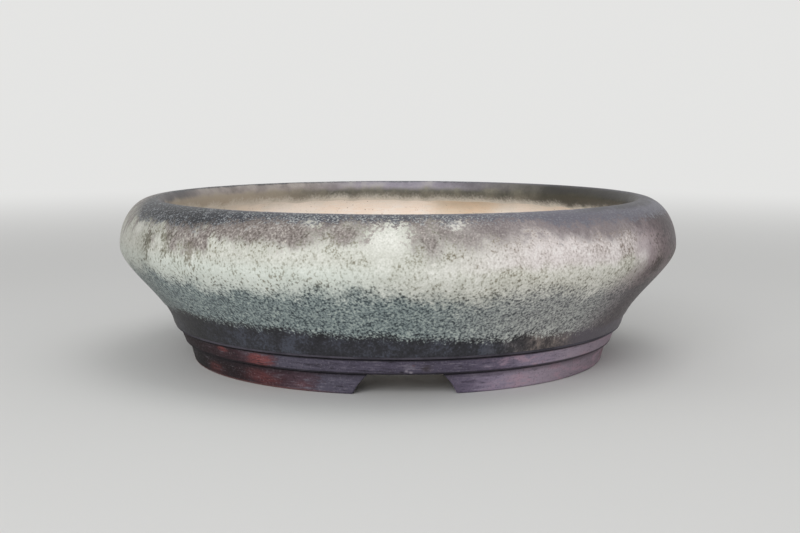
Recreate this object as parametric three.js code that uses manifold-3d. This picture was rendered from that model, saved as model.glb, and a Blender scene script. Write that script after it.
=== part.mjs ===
// Round bonsai pot: a low, wheel-thrown stoneware bowl with a full belly drawn in to a rolled lip,
// a glaze coat, a stepped foot band and three feet left standing between three cut notches.
// Millimetres, +Z up. The origin is on the ground, in the middle of the pot.

import * as THREE from 'three';
import { mergeVertices } from 'three/addons/utils/BufferGeometryUtils.js';
import Module from 'manifold-3d';

const wasm = await Module();
wasm.setup();

// Glaze coat
const potRadius = 140; // widest point of the pot, over the glaze
const glazeThickness = 1;
const glazeBond = 0.05; // space left between the glaze and the clay under it
const glazeMargin = 2.4; // length over which the coat thins to nothing at each edge
const glazeHem = 0.3; // bare clay left under the coat's lower edge
const glazeDip = 6; // how far the coat runs on down the inner wall, below the rolled lip

// Feet: one thrown ring, parted by notches
const footNames = ['foot_front_right', 'foot_back', 'foot_front_left'];
const footHeight = 9.7;
const footStepIn = 2.2; // how far the top of the ring stands in from the foot band
const footFlare = 2.3; // how much further out the ring reaches at its top than on the ground
const footWidth = 14;
const footEdgeRound = 1.2; // softened lower edges

// Notches between the feet, seen square on from outside
const notchBaseWidth = 46;
const notchTopWidth = 32.6;
const notchBow = 0.8; // how far each side bows out of a straight slope
const notchToeRound = 2.2; // softened toe of a foot beside a notch
const notchTurn = 1.7; // degrees that the first notch sits round from the front, towards +X

// Foot band: the plain ring between the feet and the bowl
const bandHeight = 7.3;
const bandStepIn = 2.2; // how far the top of the band stands in from the bowl's collar
const bandFlare = 2.4; // how much further out the band reaches at its top than at its base
const bandWidth = 17;
const bandEdgeRound = 0.7;

// The film of slip between two luted pieces
const slipFilm = 0.3;

// Bowl: outer skin of the clay, from its base up to the lip
const collarRadius = 113.6; // upright collar just over the foot band
const collarReach = 14; // how far up the collar pulls the skin upright
const bellyRise = 40.7; // from the bowl's base to its widest point
const bellyReach = 10; // how far below the belly the skin is pulled upright again
const shoulderRise = 22; // from the belly to the crest of the lip
const lipCrestRadius = 122.8;
const lipRollWidth = 3.6; // inward from the crest to the mouth
const lipRollDrop = 5.2; // down from the crest to the mouth
const baseEdgeRound = 0.8;

// Bowl: inner side of the clay
const wallThickness = 7;
const floorThickness = 8.4;
const floorFillet = 9; // height of the fillet between the floor and the wall
const underLipReach = 7; // how far below the mouth the wall is pulled upright
const innerBellyReach = 9; // how far above the inner belly it is pulled upright again

// Holes through the floor
const drainCount = 3;
const drainRadius = 11.5;
const drainCircleRadius = 46;
const drainEase = 1.5; // rounding of a drain hole's edges
const wireRadius = 2.5;
const wireCircleRadius = 72;
const wireSpread = 26; // degrees between the two tie-wire holes of a pair
const throughCut = 2; // how far a cutter runs on past a face

// Facets
const turnSegments = 60;
const flareSteps = 8;
const shoulderSteps = 6;
const rollSteps = 4;
const innerSteps = 4;
const marginSteps = 3;
const cornerSteps = 2;
const filletSteps = 3;
const drainSegments = 24;
const wireSegments = 10;
const notchSteps = 3;

// Heights and radii that follow from the sizes above
const bandTopRadius = collarRadius - bandStepIn;
const bandBaseRadius = bandTopRadius - bandFlare;
const footTopRadius = bandBaseRadius - footStepIn;
const footBaseRadius = footTopRadius - footFlare;
const bandBase = footHeight + slipFilm;
const bandTop = bandBase + bandHeight;
const bowlBase = bandTop + slipFilm;
const floorTop = bowlBase + floorThickness;
const bellyRadius = potRadius - glazeThickness;
const bellyHeight = bowlBase + bellyRise;
const crestHeight = bellyHeight + shoulderRise;
const mouthRadius = lipCrestRadius - lipRollWidth;
const mouthHeight = crestHeight - lipRollDrop;
const coatFoot = bowlBase + baseEdgeRound + glazeHem;
const coatEnd = mouthHeight - glazeDip;

// A profile point is (radius, height), and a profile runs with the outside on its right hand.
const point = (radius, height) => new THREE.Vector2(radius, height);

// Lower outer skin: an upright collar that flares out to the belly
const flare = new THREE.CubicBezierCurve(
  point(collarRadius, bowlBase),
  point(collarRadius, bowlBase + collarReach),
  point(bellyRadius, bellyHeight - bellyReach),
  point(bellyRadius, bellyHeight),
);

// Upper outer skin: a shoulder drawn in to the crest of the lip
const shoulder = new THREE.EllipseCurve(
  lipCrestRadius,
  bellyHeight,
  bellyRadius - lipCrestRadius,
  shoulderRise,
  0,
  Math.PI / 2,
);

// The lip rolls over into the mouth
const lipRoll = new THREE.EllipseCurve(
  lipCrestRadius,
  mouthHeight,
  lipRollWidth,
  lipRollDrop,
  Math.PI / 2,
  Math.PI,
);

// The inner wall opens out again under the lip, down to the inner side of the belly
const underLip = new THREE.CubicBezierCurve(
  point(mouthRadius, mouthHeight),
  point(mouthRadius, mouthHeight - underLipReach),
  point(bellyRadius - wallThickness, bellyHeight + innerBellyReach),
  point(bellyRadius - wallThickness, bellyHeight),
);

// Points along a stretch of a curve, each pushed out of the surface by a distance
function stretch(curve, from, to, steps, distance = 0) {
  const list = [];
  for (let i = 0; i <= steps; i++) {
    list.push(pushedOut(curve, from + ((to - from) * i) / steps, distance));
  }
  return list;
}

function pushedOut(curve, share, distance) {
  const along = curve.getTangent(share);
  return curve.getPoint(share).addScaledVector(point(along.y, -along.x), distance);
}

// The share of a curve at which it passes a height, once it is pushed out by a distance
function shareAtHeight(curve, height, distance = 0) {
  const rising = curve.getPoint(1).y > curve.getPoint(0).y;
  let before = 0;
  let after = 1;
  for (let i = 0; i < 40; i++) {
    const middle = (before + after) / 2;
    const isBelow = pushedOut(curve, middle, distance).y < height;
    if (isBelow === rising) {
      before = middle;
    } else {
      after = middle;
    }
  }
  return before;
}

// The glazed stretch of the clay's skin, with close points where the coat thins at its edges
function glazedSkin(distance = 0) {
  const start = shareAtHeight(flare, coatFoot);
  const full = shareAtHeight(flare, coatFoot + glazeMargin);
  const thinning = shareAtHeight(underLip, coatEnd + glazeMargin);
  const end = shareAtHeight(underLip, coatEnd);
  return [
    ...stretch(flare, start, full, marginSteps, distance),
    ...stretch(flare, full, 1, flareSteps, distance).slice(1),
    ...stretch(shoulder, 0, 1, shoulderSteps, distance).slice(1),
    ...stretch(lipRoll, 0, 1, rollSteps, distance).slice(1),
    ...stretch(underLip, 0, thinning, 2, distance).slice(1),
    ...stretch(underLip, thinning, end, marginSteps, distance).slice(1),
  ];
}

// A quarter turn from one point to another, about the corner between them
function roundedCorner(start, corner, end) {
  return new THREE.QuadraticBezierCurve(start, corner, end).getPoints(cornerSteps);
}

// One closed skin with shared vertices and no collapsed triangles
function welded(geometry) {
  geometry.deleteAttribute('normal');
  geometry.deleteAttribute('uv');
  const merged = mergeVertices(geometry);
  const corners = merged.index.array;
  const kept = [];
  for (let i = 0; i < corners.length; i += 3) {
    const [a, b, c] = [corners[i], corners[i + 1], corners[i + 2]];
    if (a !== b && b !== c && c !== a) {
      kept.push(a, b, c);
    }
  }
  merged.setIndex(kept);
  merged.computeVertexNormals();
  return merged;
}

// A profile turned round the upright axis
function turned(profile, segments = turnSegments) {
  const geometry = new THREE.LatheGeometry(profile, segments);
  geometry.rotateX(Math.PI / 2);
  return welded(geometry);
}

function toSolid(geometry) {
  const vertProperties = new Float32Array(geometry.getAttribute('position').array);
  const triVerts = new Uint32Array(geometry.index.array);
  return new wasm.Manifold(new wasm.Mesh({ numProp: 3, vertProperties, triVerts }));
}

function fromSolid(solid) {
  const mesh = solid.getMesh();
  const geometry = new THREE.BufferGeometry();
  geometry.setAttribute('position', new THREE.BufferAttribute(mesh.vertProperties, mesh.numProp));
  geometry.setIndex(new THREE.BufferAttribute(mesh.triVerts, 1));
  geometry.computeVertexNormals();
  return geometry;
}

// A bearing of zero is the front of the pot, towards -Y, and bearings grow towards +X.
function swung(geometry, bearing) {
  return geometry.clone().rotateZ(THREE.MathUtils.degToRad(bearing));
}

function makeBowl() {
  const rawStart = shareAtHeight(underLip, coatEnd);
  const filletStart = shareAtHeight(flare, floorTop + floorFillet, -wallThickness);
  const innerFlare = stretch(flare, 1, filletStart, flareSteps, -wallThickness);
  const wallFoot = innerFlare[innerFlare.length - 1];
  const wallSlope = flare.getTangent(filletStart);
  const floorCorner = wallFoot.clone().addScaledVector(wallSlope, (floorTop - wallFoot.y) / wallSlope.y);
  const filletEnd = point(floorCorner.x - floorCorner.distanceTo(wallFoot), floorTop);
  const fillet = new THREE.QuadraticBezierCurve(wallFoot, floorCorner, filletEnd);
  const clay = toSolid(turned([
    point(0, bowlBase),
    ...roundedCorner(
      point(collarRadius - baseEdgeRound, bowlBase),
      point(collarRadius, bowlBase),
      pushedOut(flare, shareAtHeight(flare, bowlBase + baseEdgeRound), 0),
    ),
    ...glazedSkin(),
    ...stretch(underLip, rawStart, 1, innerSteps).slice(1),
    ...innerFlare.slice(1),
    ...fillet.getPoints(filletSteps).slice(1),
    point(0, floorTop),
  ]));
  return fromSolid(floorHoleCutters().reduce((left, cutter) => left.subtract(cutter), clay));
}

// A drain hole facing each notch, and a pair of tie-wire holes outside each drain hole
function floorHoleCutters() {
  const cutters = [];
  for (let i = 0; i < drainCount; i++) {
    const bearing = notchTurn + (360 / drainCount) * i;
    cutters.push(holeCutter(drainRadius, drainEase, drainSegments, drainCircleRadius, bearing));
    for (const side of [-0.5, 0.5]) {
      const wireBearing = bearing + side * wireSpread;
      cutters.push(holeCutter(wireRadius, 0, wireSegments, wireCircleRadius, wireBearing));
    }
  }
  return cutters;
}

// A plug through the floor, flared at both faces so that the hole's edges come out rounded
function holeCutter(radius, ease, segments, circleRadius, bearing) {
  const wide = radius + ease;
  const shaft = ease === 0 ? [] : [
    ...roundedCorner(point(wide, bowlBase), point(radius, bowlBase), point(radius, bowlBase + ease)),
    ...roundedCorner(point(radius, floorTop - ease), point(radius, floorTop), point(wide, floorTop)),
  ];
  const plug = turned([
    point(0, bowlBase - throughCut),
    point(wide, bowlBase - throughCut),
    ...shaft,
    point(wide, floorTop + throughCut),
    point(0, floorTop + throughCut),
  ], segments);
  return toSolid(swung(plug.translate(0, -circleRadius, 0), bearing));
}

// The coat follows the clay's skin and rounds off to nothing over its margin at each edge.
function makeGlazeCoat() {
  const clay = glazedSkin();
  const full = glazedSkin(glazeThickness);
  const bonded = glazedSkin(glazeBond);
  const travel = [0];
  for (let i = 1; i < clay.length; i++) {
    travel.push(travel[i - 1] + clay[i].distanceTo(clay[i - 1]));
  }
  const length = travel[travel.length - 1];
  const outer = bonded.map((start, i) => {
    const fromEdge = Math.min(travel[i], length - travel[i]);
    const thin = 1 - Math.min(1, fromEdge / glazeMargin);
    return start.clone().lerp(full[i], Math.sqrt(1 - thin * thin));
  });
  return turned([...outer, ...bonded.slice(0, -1).reverse()]);
}

function makeFootBand() {
  const round = bandEdgeRound;
  const innerRadius = bandTopRadius - bandWidth;
  return turned([
    point(innerRadius, bandBase),
    ...roundedCorner(
      point(bandBaseRadius - round, bandBase),
      point(bandBaseRadius, bandBase),
      point(bandBaseRadius, bandBase + round),
    ),
    ...roundedCorner(
      point(bandTopRadius, bandTop - round),
      point(bandTopRadius, bandTop),
      point(bandTopRadius - round, bandTop),
    ),
    point(innerRadius, bandTop),
    point(innerRadius, bandBase),
  ]);
}

function makeFootRing() {
  const round = footEdgeRound;
  const innerRadius = footTopRadius - footWidth;
  const innerToe = point(innerRadius, round);
  return turned([
    innerToe,
    ...roundedCorner(innerToe, point(innerRadius, 0), point(innerRadius + round, 0)).slice(1),
    ...roundedCorner(
      point(footBaseRadius - round, 0),
      point(footBaseRadius, 0),
      point(footBaseRadius, round),
    ),
    point(footTopRadius, footHeight),
    point(innerRadius, footHeight),
    innerToe.clone(),
  ]);
}

// A bar from the axis out through the ring: wide at the ground, narrow at the top, with bowed sides
function notchCutter(bearing) {
  const side = (sign) => {
    const top = point(sign * notchTopWidth / 2, footHeight);
    const toe = point(sign * notchBaseWidth / 2, 0);
    const bowed = top.clone().lerp(toe, 0.5).add(point(sign * notchBow * 2, 0));
    const slope = new THREE.QuadraticBezierCurve(top, bowed, toe);
    const toeShare = shareAtHeight(slope, notchToeRound);
    const toeEnd = point(toe.x + sign * notchToeRound, 0);
    return [
      point(top.x, footHeight + throughCut),
      ...stretch(slope, 0, toeShare, notchSteps),
      ...roundedCorner(slope.getPoint(toeShare), toe, toeEnd).slice(1),
      point(toeEnd.x, -throughCut),
    ];
  };
  const outline = new THREE.Shape([...side(-1), ...side(1).reverse()]);
  const depth = footTopRadius + throughCut;
  const bar = new THREE.ExtrudeGeometry(outline, { depth, bevelEnabled: false });
  bar.rotateX(Math.PI / 2);
  return toSolid(swung(welded(bar), bearing));
}

// The share of the foot ring from one notch to the next
function makeFoot(index) {
  const span = 360 / footNames.length;
  const bearing = notchTurn + span * index;
  const sector = new THREE.Shape();
  sector.moveTo(0, 0);
  sector.lineTo(0, -potRadius);
  sector.absarc(0, 0, potRadius, -Math.PI / 2, THREE.MathUtils.degToRad(span - 90), false);
  const depth = footHeight + throughCut * 2;
  const wedge = new THREE.ExtrudeGeometry(sector, { depth, bevelEnabled: false });
  wedge.translate(0, 0, -throughCut);
  return fromSolid(
    toSolid(makeFootRing())
      .intersect(toSolid(swung(welded(wedge), bearing)))
      .subtract(notchCutter(bearing))
      .subtract(notchCutter(bearing + span)),
  );
}

const rawClay = new THREE.MeshStandardMaterial({ color: 0xd9c3a6, roughness: 0.8, metalness: 0 });
const glaze = new THREE.MeshStandardMaterial({ color: 0x8f968a, roughness: 0.45, metalness: 0 });
const washedClay = new THREE.MeshStandardMaterial({ color: 0x655660, roughness: 0.75, metalness: 0 });

const pot = new THREE.Group();

function addPiece(name, geometry, material) {
  const mesh = new THREE.Mesh(geometry, material);
  mesh.name = name;
  pot.add(mesh);
}

addPiece('bowl', makeBowl(), rawClay);
addPiece('glaze_coat', makeGlazeCoat(), glaze);
addPiece('foot_band', makeFootBand(), washedClay);
footNames.forEach((name, index) => addPiece(name, makeFoot(index), washedClay));

export default pot;
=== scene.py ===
"""Round bonsai pot: a low stoneware bowl in a speckled glaze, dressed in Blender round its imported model.

Metres, +Z up, and the front of the pot towards -Y. A bearing is an angle round the pot in radians,
zero at the front and growing towards +X. A travel is a distance along a profile.
"""

import math

import bmesh
import bpy
import numpy as np
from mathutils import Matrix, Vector, noise


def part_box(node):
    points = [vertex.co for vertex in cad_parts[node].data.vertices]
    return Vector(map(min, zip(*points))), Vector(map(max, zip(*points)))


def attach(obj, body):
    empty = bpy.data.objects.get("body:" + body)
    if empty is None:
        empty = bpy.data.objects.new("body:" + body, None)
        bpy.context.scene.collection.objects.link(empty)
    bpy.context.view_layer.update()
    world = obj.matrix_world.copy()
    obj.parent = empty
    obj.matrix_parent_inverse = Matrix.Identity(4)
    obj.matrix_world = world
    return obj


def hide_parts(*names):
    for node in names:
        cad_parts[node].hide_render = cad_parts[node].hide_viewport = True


MM = 0.001

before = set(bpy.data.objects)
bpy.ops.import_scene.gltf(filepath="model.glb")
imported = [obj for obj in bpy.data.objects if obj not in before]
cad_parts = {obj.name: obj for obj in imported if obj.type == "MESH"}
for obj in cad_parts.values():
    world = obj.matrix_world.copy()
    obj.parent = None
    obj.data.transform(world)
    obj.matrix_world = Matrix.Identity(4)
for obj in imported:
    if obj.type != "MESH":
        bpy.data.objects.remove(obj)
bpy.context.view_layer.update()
coat_low, coat_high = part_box("glaze_coat")
bowl_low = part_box("bowl")[0]
band_low, band_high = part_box("foot_band")
foot_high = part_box("foot_back")[1]

# Glaze coat
POT_RADIUS = coat_high.x
GLAZE_THICKNESS = 1 * MM
GLAZE_BOND = 0.05 * MM
BASE_GLAZE = 0.62 * MM  # thickness of the dark glaze under the pale one
GLAZE_MARGIN = 2.4 * MM
GLAZE_FOOT = coat_low.z
GLAZE_LEAST = 0.3 * MM
PALE_SHARE = 0.86  # how much of the room over the dark glaze the pale one takes
PALE_RAMP = (-0.3 * MM, 0.9 * MM)  # heights over its own edge between which the pale glaze thickens
EDGE_ROLL = 0.04 * MM
EDGE_ROLL_RISE = 1.3  # mm over that edge
CREST_WEAR = 0.12 * MM
CREST_WEAR_REACH = 2.2 * MM
GLAZE_LUMPS = ((0.035 * MM, 9 * MM, 2), (0.02 * MM, 3.4 * MM, 5))  # depth, grain size and seed

# Bowl: outer skin
BOWL_BASE = bowl_low.z
COLLAR_RADIUS = 113.6 * MM
COLLAR_REACH = 14 * MM
BELLY_RADIUS = POT_RADIUS - GLAZE_THICKNESS
BELLY_REACH = 10 * MM
SHOULDER_RISE = 22 * MM
CREST_HEIGHT = coat_high.z - GLAZE_THICKNESS
BELLY_HEIGHT = CREST_HEIGHT - SHOULDER_RISE
LIP_CREST_RADIUS = 122.8 * MM
LIP_ROLL_WIDTH = 3.6 * MM
LIP_ROLL_DROP = 5.2 * MM
MOUTH_RADIUS = LIP_CREST_RADIUS - LIP_ROLL_WIDTH
MOUTH_HEIGHT = CREST_HEIGHT - LIP_ROLL_DROP
BASE_EDGE_ROUND = 0.8 * MM

# Bowl: inner side
WALL_THICKNESS = 7 * MM
FLOOR_TOP = BOWL_BASE + 8.4 * MM
FLOOR_FILLET = 9 * MM
UNDER_LIP_REACH = 7 * MM
INNER_BELLY_REACH = 9 * MM
THROWING_PITCH = 5.4 * MM
THROWING_DEPTH = 0.16 * MM
THROWING_START = (8 * MM, 24 * MM)  # travels from the mouth between which the rings grow
THROWING_END = 6 * MM  # travel before the axis over which they fade
AXIS_STOP = 1.5 * MM  # radius at which the turned rows end round the axis

# Holes through the floor
NOTCH_TURN = math.radians(1.7)
DRAIN_COUNT = 3
DRAIN_RADIUS = 11.5 * MM
DRAIN_CIRCLE_RADIUS = 46 * MM
DRAIN_EASE = 1.5 * MM
WIRE_RADIUS = 2.5 * MM
WIRE_EASE = 0.5 * MM
WIRE_CIRCLE_RADIUS = 72 * MM
WIRE_SPREAD = math.radians(26)
THROUGH_CUT = 2 * MM

# Foot band and feet
BAND_BASE = band_low.z
BAND_TOP = band_high.z
BAND_TOP_RADIUS = band_high.x
BAND_BASE_RADIUS = BAND_TOP_RADIUS - 2.4 * MM
BAND_WIDTH = 17 * MM
BAND_EDGE_ROUND = 0.7 * MM
FOOT_NODES = ("foot_front_right", "foot_back", "foot_front_left")
FOOT_HEIGHT = foot_high.z
FOOT_TOP_RADIUS = BAND_BASE_RADIUS - 2.2 * MM
FOOT_BASE_RADIUS = FOOT_TOP_RADIUS - 2.3 * MM
FOOT_WIDTH = 14 * MM
FOOT_EDGE_ROUND = 0.9 * MM
FOOT_VOXEL = 0.45 * MM
TRIM_STREAK_DEPTH = 0.05 * MM
TRIM_HOLLOW_DEPTH = 0.07 * MM
NOTCH_BASE_WIDTH = 46 * MM
NOTCH_TOP_WIDTH = 32.6 * MM
NOTCH_BOW = 0.8 * MM

# Where the pale glaze ends over the dark one: a height, how far it tilts and how far it wanders
PALE_EDGE_HEIGHT = 27.8 * MM
PALE_EDGE_TILT = 3.4 * MM
PALE_EDGE_RISE = 1.4 * MM
PALE_EDGE_RISE_BEARING = math.radians(-27)
PALE_EDGE_RISE_SPREAD = math.radians(20)
PALE_EDGE_WANDER = 0.9 * MM

# Inner edge of the glaze: how far it ends below the mouth, and how far its drips run on
INNER_EDGE_DROP = 6.2 * MM
INNER_EDGE_TILT = 1.6 * MM
INNER_EDGE_WANDER = 0.4 * MM
DRIP_COUNT = 34
DRIP_LENGTH = 2.2 * MM

# Steps round the pot
TURN_STEPS = 720


def point(radius, height):
    return np.array([radius, height])


def bezier(start, start_pull, end_pull, end, steps):
    t = np.linspace(0, 1, steps + 1)[:, None]
    near = (1 - t) ** 3 * start + 3 * (1 - t) ** 2 * t * start_pull
    far = 3 * (1 - t) * t**2 * end_pull + t**3 * end
    return near + far


def quarter_round(centre, reach, start, steps):
    """A quarter of an ellipse about a centre, from a start angle on."""
    turn = np.linspace(start, start + math.pi / 2, steps + 1)
    return np.column_stack((centre[0] + reach[0] * np.cos(turn), centre[1] + reach[1] * np.sin(turn)))


def eased(values, low, high):
    """Nought below low, one above high, and a smooth rise between them."""
    share = np.clip((values - low) / (high - low), 0, 1)
    return share * share * (3 - 2 * share)


class Skin:
    """A profile as a dense line, which gives its place, its outward side and its travel anywhere."""

    def __init__(self, *stretches):
        line = np.vstack([stretches[0], *[s[1:] for s in stretches[1:]]])
        along = np.gradient(line, axis=0)
        along /= np.linalg.norm(along, axis=1)[:, None]
        self.line = line
        self.outward = np.column_stack((along[:, 1], -along[:, 0]))
        self.travel = np.concatenate(([0], np.cumsum(np.linalg.norm(np.diff(line, axis=0), axis=1))))

    def place(self, travel, distance=0.0):
        """Radius and height at a travel, pushed out by a distance."""
        parts = []
        for axis in (0, 1):
            on_skin = np.interp(travel, self.travel, self.line[:, axis])
            push = np.interp(travel, self.travel, self.outward[:, axis])
            parts.append(on_skin + push * distance)
        return parts

    def travel_at(self, height, rising=True):
        """The travel at which the skin passes a height on its way up, or on its way down again."""
        top = int(np.argmax(self.line[:, 1]))
        if rising:
            return float(np.interp(height, self.line[: top + 1, 1], self.travel[: top + 1]))
        return float(np.interp(-height, -self.line[top:, 1], self.travel[top:]))


FLARE = bezier(
    point(COLLAR_RADIUS, BOWL_BASE),
    point(COLLAR_RADIUS, BOWL_BASE + COLLAR_REACH),
    point(BELLY_RADIUS, BELLY_HEIGHT - BELLY_REACH),
    point(BELLY_RADIUS, BELLY_HEIGHT),
    400,
)
SHOULDER = quarter_round(
    point(LIP_CREST_RADIUS, BELLY_HEIGHT), point(BELLY_RADIUS - LIP_CREST_RADIUS, SHOULDER_RISE), 0, 300
)
LIP_ROLL = quarter_round(
    point(LIP_CREST_RADIUS, MOUTH_HEIGHT), point(LIP_ROLL_WIDTH, LIP_ROLL_DROP), math.pi / 2, 120
)
UNDER_LIP = bezier(
    point(MOUTH_RADIUS, MOUTH_HEIGHT),
    point(MOUTH_RADIUS, MOUTH_HEIGHT - UNDER_LIP_REACH),
    point(BELLY_RADIUS - WALL_THICKNESS, BELLY_HEIGHT + INNER_BELLY_REACH),
    point(BELLY_RADIUS - WALL_THICKNESS, BELLY_HEIGHT),
    240,
)
OUTSIDE = Skin(FLARE, SHOULDER, LIP_ROLL, UNDER_LIP)


def bearings(steps=TURN_STEPS):
    return np.arange(steps) * (2 * math.pi / steps)


def wander(bearing, seed, orders):
    """A closed wavy line round the pot, about one unit high, from seeded waves of whole turns."""
    draw = np.random.default_rng(seed)
    total = np.zeros_like(bearing)
    for order in orders:
        total += draw.uniform(0.5, 1) * np.sin(order * bearing + draw.uniform(0, 2 * math.pi))
    return total / math.sqrt(len(orders))


def drips(bearing, seed):
    """How far each place round the rim has run on, as a share of the longest drip."""
    draw = np.random.default_rng(seed)
    total = np.zeros_like(bearing)
    for i in range(DRIP_COUNT):
        centre = (i + draw.uniform(-0.35, 0.35)) * 2 * math.pi / DRIP_COUNT
        width = math.radians(draw.uniform(1.2, 3.4))
        size = draw.uniform(0.15, 1)
        off = np.angle(np.exp(1j * (bearing - centre)))
        total = np.maximum(total, size * np.exp(-((off / width) ** 2)))
    return total


def lumps(points, size, seed):
    """Soft noise of a given grain size at many points, from about -1 to 1."""
    shift = Vector((seed * 7.31, seed * 3.17, seed * 5.77))
    values = [noise.noise(Vector(p) / size + shift) for p in points.reshape(-1, 3)]
    return np.array(values).reshape(points.shape[:-1])


def place_at(bearing, radius, height):
    return (radius * math.sin(bearing), -radius * math.cos(bearing), height)


def spun(radius, height, bearing):
    """Points in space from radii, heights and bearings."""
    radius, height, bearing = np.broadcast_arrays(radius, height, bearing)
    return np.stack((radius * np.sin(bearing), -radius * np.cos(bearing), height), axis=-1)


def new_object(name, mesh):
    made = bpy.data.objects.new(name, mesh)
    bpy.context.scene.collection.objects.link(made)
    return made


def smooth_shaded(mesh, sharp_angle=math.radians(50)):
    """Smooth shading, with the edges kept sharp that turn further than an angle."""
    shape = bmesh.new()
    shape.from_mesh(mesh)
    for face in shape.faces:
        face.smooth = True
    for edge in shape.edges:
        edge.smooth = len(edge.link_faces) < 2 or edge.calc_face_angle(0) < sharp_angle
    shape.to_mesh(mesh)
    shape.free()


def grid_mesh(name, grid, closed):
    """A mesh from rows of points round the pot. A closed one joins its last row to its first, and an
    open one ends in a point on the axis at both ends."""
    rows, columns = grid.shape[:2]
    corners = [tuple(p) for p in grid.reshape(-1, 3)]
    faces = []
    for i in range(rows if closed else rows - 1):
        low, high = i * columns, ((i + 1) % rows) * columns
        for j in range(columns):
            k = (j + 1) % columns
            faces.append((low + j, low + k, high + k, high + j))
    if not closed:
        for row, flip in ((0, True), (rows - 1, False)):
            corners.append((0.0, 0.0, float(grid[row, 0, 2])))
            for j in range(columns):
                edge = (row * columns + j, row * columns + (j + 1) % columns)
                faces.append((*(edge[::-1] if flip else edge), len(corners) - 1))
    mesh = bpy.data.meshes.new(name)
    mesh.from_pydata(corners, [], faces)
    mesh.validate()
    return mesh


def mark(mesh, name, values):
    """Keeps a number for each point of a mesh, for its material to read."""
    kept = mesh.attributes.new(name, "FLOAT", "POINT")
    kept.data.foreach_set("value", np.asarray(values, np.float32).ravel())


def turned_mesh(name, profile, steps, closed=False):
    """A plain turned shape from (radius, height) points."""
    profile = np.asarray(profile)
    return grid_mesh(name, spun(profile[:, :1], profile[:, 1:], bearings(steps)), closed)


def corner(start, middle, end, steps=5):
    """A rounded corner from one point to another about the point between them."""
    t = np.linspace(0, 1, steps + 1)[:, None]
    return (1 - t) ** 2 * start + 2 * (1 - t) * t * middle + t**2 * end


def combined(base, tools, operation):
    """Cuts or keeps a solid by others, and deletes those others."""
    for tool in tools:
        step = base.modifiers.new("cut", "BOOLEAN")
        step.operation = operation
        step.solver = "MANIFOLD"
        step.object = tool
    settled(base)
    for tool in tools:
        bpy.data.objects.remove(tool)


def settled(piece):
    """Applies a piece's modifiers to its mesh."""
    bpy.context.view_layer.update()
    held = piece.evaluated_get(bpy.context.evaluated_depsgraph_get())
    piece.data = bpy.data.meshes.new_from_object(held)
    piece.modifiers.clear()


def points_of(mesh):
    flat = np.zeros(len(mesh.vertices) * 3, np.float32)
    mesh.vertices.foreach_get("co", flat)
    return flat.reshape(-1, 3).astype(float)


def set_points(mesh, points):
    mesh.vertices.foreach_set("co", points.astype(np.float32).ravel())
    mesh.update()


def pale_edge(bearing):
    """The height at which the pale glaze ends: higher on the left, lower on the right."""
    tilt = -PALE_EDGE_TILT * np.sin(bearing)
    from_rise = np.angle(np.exp(1j * (bearing - PALE_EDGE_RISE_BEARING)))
    rise = PALE_EDGE_RISE * np.exp(-((from_rise / PALE_EDGE_RISE_SPREAD) ** 2))
    return PALE_EDGE_HEIGHT + tilt + rise + PALE_EDGE_WANDER * wander(bearing, 4, (3, 5, 8, 13, 21, 34))


def glaze_thickness(grid, height, bearing, past_crest):
    """Thin where only the dark glaze lies, full and slightly rolled where the pale one starts."""
    above = height - pale_edge(bearing)
    pale = np.where(past_crest, 1.0, eased(above, *PALE_RAMP))
    roll = np.where(past_crest, 0.0, np.exp(-((above / MM - EDGE_ROLL_RISE) ** 2)))
    lift = (GLAZE_THICKNESS - BASE_GLAZE) * pale * PALE_SHARE + EDGE_ROLL * roll
    wear = CREST_WEAR * np.exp(-(((height - coat_high.z) / CREST_WEAR_REACH) ** 2))
    uneven = sum(depth * lumps(grid, size, seed) for depth, size, seed in GLAZE_LUMPS)
    return np.clip(BASE_GLAZE + lift - wear + uneven, GLAZE_LEAST, GLAZE_THICKNESS)


def glaze_end(bearing):
    """The travel at which the coat ends inside the mouth, where it runs down in drips."""
    drop = INNER_EDGE_DROP + INNER_EDGE_WANDER * wander(bearing, 11, (2, 5, 9, 14))
    drop = drop + INNER_EDGE_TILT * np.maximum(0, np.sin(bearing)) + DRIP_LENGTH * drips(bearing, 3)
    return OUTSIDE.travel_at(MOUTH_HEIGHT, rising=False) + drop


def glaze_rows(start, end):
    """The travels of the coat's rows, which lie closer together near both of its edges."""
    near = np.array([0, 0.02, 0.07, 0.16, 0.3, 0.5, 0.75, 1]) * GLAZE_MARGIN
    middle = np.linspace(0, 1, 128)[1:-1]
    rows = [start + step for step in near]
    rows += [(start + near[-1]) * (1 - m) + (end - near[-1]) * m for m in middle]
    rows += [end - step for step in near[::-1]]
    return np.array(rows)


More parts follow.
